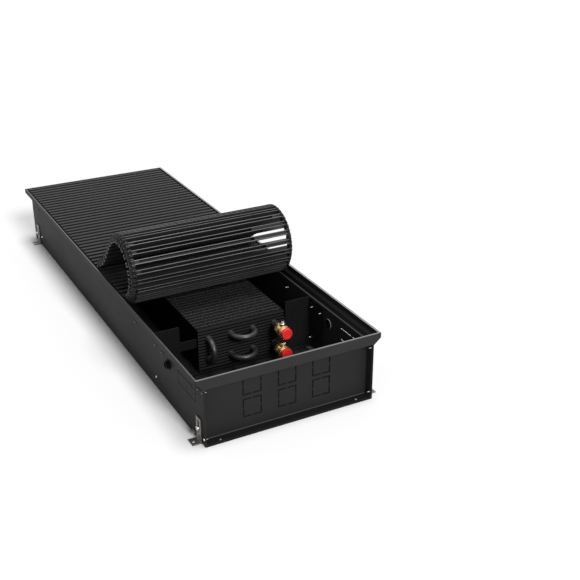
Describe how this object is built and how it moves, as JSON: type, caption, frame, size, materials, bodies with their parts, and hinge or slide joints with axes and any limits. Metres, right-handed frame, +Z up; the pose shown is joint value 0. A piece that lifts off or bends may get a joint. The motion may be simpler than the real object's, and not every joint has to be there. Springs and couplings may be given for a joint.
{
  "type": "trench convector heater",
  "caption": "Floor trench heater: flared sheet casing, finned tube exchanger with capped valves, levelling feet and a roll-up grille of hinged cross bars, rolled back from the connection end.",
  "frame": {"origin": "centre of the casing's footprint, on the floor", "axes": "+X across the trench towards the connections' side, +Y along the trench away from the connection end, +Z up"},
  "size_m": [0.3876, 1.12, 0.2661],
  "materials": {
    "casing_paint": "charcoal powder coat, satin",
    "casing_inside": "black powder coat, matt",
    "rim_aluminium": "dark anodised, satin",
    "bar_aluminium": "black anodised, satin",
    "link_plastic": "moulded, slight sheen",
    "rubber": "matt",
    "zinc_screws": "zinc plated",
    "zinc_plate": "zinc plated, dull",
    "fin_aluminium": "black lacquer on aluminium fins",
    "painted_copper": "black lacquer, semi-gloss",
    "brass": "machined",
    "chrome": "bright",
    "red_plastic": "moulded, glossy"
  },
  "bodies": {
    "root": {"floor_pan": "casing_inside", "side_wall_left": "casing_paint", "side_wall_right": "casing_paint", "end_plate_near": "casing_paint", "end_plate_far": "casing_paint", "rim_trim_left": "rim_aluminium", "rim_trim_right": "rim_aluminium", "end_rail_near": "rim_aluminium", "end_rail_far": "rim_aluminium", "seat_strips": "rubber", "cable_grommets": "rubber", "casing_screws": "zinc_screws", "floor_screws": "zinc_screws", "foot_clamp_screws": "zinc_screws", "exchanger_brackets_near": "casing_inside", "exchanger_brackets_far": "casing_inside", "cradle_near": "casing_inside", "cradle_far": "casing_inside", "pack_lugs": "casing_inside", "fin_pack": "fin_aluminium", "heat_tubes": "painted_copper", "return_bends_near": "painted_copper", "return_bends_far": "painted_copper", "connection_stubs": "painted_copper", "valve_body_upper": "brass", "valve_body_lower": "brass", "bleed_valve": "chrome"},
    "grille_flat": {"grille_flat_bars": "bar_aluminium", "grille_flat_links": "link_plastic"},
    "slat_01": {"slat_01": "bar_aluminium"},
    "slat_02": {"slat_02": "bar_aluminium"},
    "slat_03": {"slat_03": "bar_aluminium"},
    "slat_04": {"slat_04": "bar_aluminium"},
    "slat_05": {"slat_05": "bar_aluminium"},
    "slat_06": {"slat_06": "bar_aluminium"},
    "slat_07": {"slat_07": "bar_aluminium"},
    "slat_08": {"slat_08": "bar_aluminium"},
    "slat_09": {"slat_09": "bar_aluminium"},
    "slat_10": {"slat_10": "bar_aluminium"},
    "slat_11": {"slat_11": "bar_aluminium"},
    "slat_12": {"slat_12": "bar_aluminium"},
    "slat_13": {"slat_13": "bar_aluminium"},
    "slat_14": {"slat_14": "bar_aluminium"},
    "slat_15": {"slat_15": "bar_aluminium"},
    "slat_16": {"slat_16": "bar_aluminium"},
    "slat_17": {"slat_17": "bar_aluminium"},
    "slat_18": {"slat_18": "bar_aluminium"},
    "slat_19": {"slat_19": "bar_aluminium"},
    "slat_20": {"slat_20": "bar_aluminium"},
    "slat_21": {"slat_21": "bar_aluminium"},
    "foot_near_left": {"foot_near_left": "zinc_plate"},
    "foot_near_right": {"foot_near_right": "zinc_plate"},
    "foot_far_left": {"foot_far_left": "zinc_plate"},
    "foot_far_right": {"foot_far_right": "zinc_plate"},
    "cap_upper": {"cap_upper": "red_plastic"},
    "cap_lower": {"cap_lower": "red_plastic"},
    "bleed_screw": {"bleed_screw": "chrome"},
    "drain_plug": {"drain_plug": "brass"}
  },
  "joints": [
    {"name": "grille_lift", "type": "slide", "parent": "root", "child": "grille_flat", "axis": [0, 0, 1], "range_m": [0, 0.12]},
    {"name": "slat_01_hinge", "type": "hinge", "parent": "grille_flat", "child": "slat_01", "pos_m": [0, -0.18, 0.13025], "axis": [1, 0, 0], "range_deg": [0, 24]},
    {"name": "slat_02_hinge", "type": "hinge", "parent": "slat_01", "child": "slat_02", "pos_m": [0, -0.19644, 0.13757], "axis": [1, 0, 0], "range_deg": [0, 16]},
    {"name": "slat_03_hinge", "type": "hinge", "parent": "slat_02", "child": "slat_03", "pos_m": [0, -0.21023, 0.14914], "axis": [1, 0, 0], "range_deg": [0, 16]},
    {"name": "slat_04_hinge", "type": "hinge", "parent": "slat_03", "child": "slat_04", "pos_m": [0, -0.2203, 0.16406], "axis": [1, 0, 0], "range_deg": [0, 16]},
    {"name": "slat_05_hinge", "type": "hinge", "parent": "slat_04", "child": "slat_05", "pos_m": [0, -0.22586, 0.18118], "axis": [1, 0, 0], "range_deg": [0, 16]},
    {"name": "slat_06_hinge", "type": "hinge", "parent": "slat_05", "child": "slat_06", "pos_m": [0, -0.22649, 0.19917], "axis": [1, 0, 0], "range_deg": [0, 16]},
    {"name": "slat_07_hinge", "type": "hinge", "parent": "slat_06", "child": "slat_07", "pos_m": [0, -0.22213, 0.21664], "axis": [1, 0, 0], "range_deg": [0, 16]},
    {"name": "slat_08_hinge", "type": "hinge", "parent": "slat_07", "child": "slat_08", "pos_m": [0, -0.21313, 0.23223], "axis": [1, 0, 0], "range_deg": [0, 16]},
    {"name": "slat_09_hinge", "type": "hinge", "parent": "slat_08", "child": "slat_09", "pos_m": [0, -0.20019, 0.24473], "axis": [1, 0, 0], "range_deg": [0, 16]},
    {"name": "slat_10_hinge", "type": "hinge", "parent": "slat_09", "child": "slat_10", "pos_m": [0, -0.18429, 0.25318], "axis": [1, 0, 0], "range_deg": [0, 16]},
    {"name": "slat_11_hinge", "type": "hinge", "parent": "slat_10", "child": "slat_11", "pos_m": [0, -0.16669, 0.25692], "axis": [1, 0, 0], "range_deg": [0, 16]},
    {"name": "slat_12_hinge", "type": "hinge", "parent": "slat_11", "child": "slat_12", "pos_m": [0, -0.14873, 0.25567], "axis": [1, 0, 0], "range_deg": [0, 16]},
    {"name": "slat_13_hinge", "type": "hinge", "parent": "slat_12", "child": "slat_13", "pos_m": [0, -0.13182, 0.24951], "axis": [1, 0, 0], "range_deg": [0, 16]},
    {"name": "slat_14_hinge", "type": "hinge", "parent": "slat_13", "child": "slat_14", "pos_m": [0, -0.11725, 0.23893], "axis": [1, 0, 0], "range_deg": [0, 6]},
    {"name": "slat_15_hinge", "type": "hinge", "parent": "slat_14", "child": "slat_15", "pos_m": [0, -0.10388, 0.22689], "axis": [1, 0, 0], "range_deg": [0, 6]},
    {"name": "slat_16_hinge", "type": "hinge", "parent": "slat_15", "child": "slat_16", "pos_m": [0, -0.09183, 0.21351], "axis": [1, 0, 0], "range_deg": [0, 1]},
    {"name": "slat_17_hinge", "type": "hinge", "parent": "slat_16", "child": "slat_17", "pos_m": [0, -0.08002, 0.19992], "axis": [1, 0, 0], "range_deg": [0, 1]},
    {"name": "slat_18_hinge", "type": "hinge", "parent": "slat_17", "child": "slat_18", "pos_m": [0, -0.06845, 0.18614], "axis": [1, 0, 0], "range_deg": [-6.62, 0]},
    {"name": "slat_19_hinge", "type": "hinge", "parent": "slat_18", "child": "slat_19", "pos_m": [0, -0.05537, 0.17377], "axis": [1, 0, 0], "range_deg": [-6.62, 0]},
    {"name": "slat_20_hinge", "type": "hinge", "parent": "slat_19", "child": "slat_20", "pos_m": [0, -0.04095, 0.163], "axis": [1, 0, 0], "range_deg": [-6.62, 0]},
    {"name": "slat_21_hinge", "type": "hinge", "parent": "slat_20", "child": "slat_21", "pos_m": [0, -0.02538, 0.15397], "axis": [1, 0, 0], "range_deg": [-6.62, 0]},
    {"name": "foot_near_left_slide", "type": "slide", "parent": "root", "child": "foot_near_left", "axis": [0, 0, 1], "range_m": [-0.012, 0]},
    {"name": "foot_near_right_slide", "type": "slide", "parent": "root", "child": "foot_near_right", "axis": [0, 0, 1], "range_m": [-0.012, 0]},
    {"name": "foot_far_left_slide", "type": "slide", "parent": "root", "child": "foot_far_left", "axis": [0, 0, 1], "range_m": [-0.012, 0]},
    {"name": "foot_far_right_slide", "type": "slide", "parent": "root", "child": "foot_far_right", "axis": [0, 0, 1], "range_m": [-0.012, 0]},
    {"name": "cap_upper_pull", "type": "slide", "parent": "root", "child": "cap_upper", "axis": [0, -1, 0], "range_m": [0, 0.03]},
    {"name": "cap_lower_pull", "type": "slide", "parent": "root", "child": "cap_lower", "axis": [0, -1, 0], "range_m": [0, 0.03]},
    {"name": "bleed_screw_turn", "type": "hinge", "parent": "root", "child": "bleed_screw", "pos_m": [0.087, -0.3585, 0.0895], "axis": [0, 0, 1], "range_deg": [0, 360]},
    {"name": "drain_plug_turn", "type": "hinge", "parent": "root", "child": "drain_plug", "pos_m": [0.087, -0.3585, 0.0435], "axis": [0, 0, 1], "range_deg": [0, 360]}
  ],
  "couplings": [
    {"joint": "slat_18_hinge", "follows": "slat_13_hinge", "ratio": -0.41394},
    {"joint": "slat_19_hinge", "follows": "slat_13_hinge", "ratio": -0.41394},
    {"joint": "slat_20_hinge", "follows": "slat_13_hinge", "ratio": -0.41394},
    {"joint": "slat_21_hinge", "follows": "slat_13_hinge", "ratio": -0.41394}
  ]
}
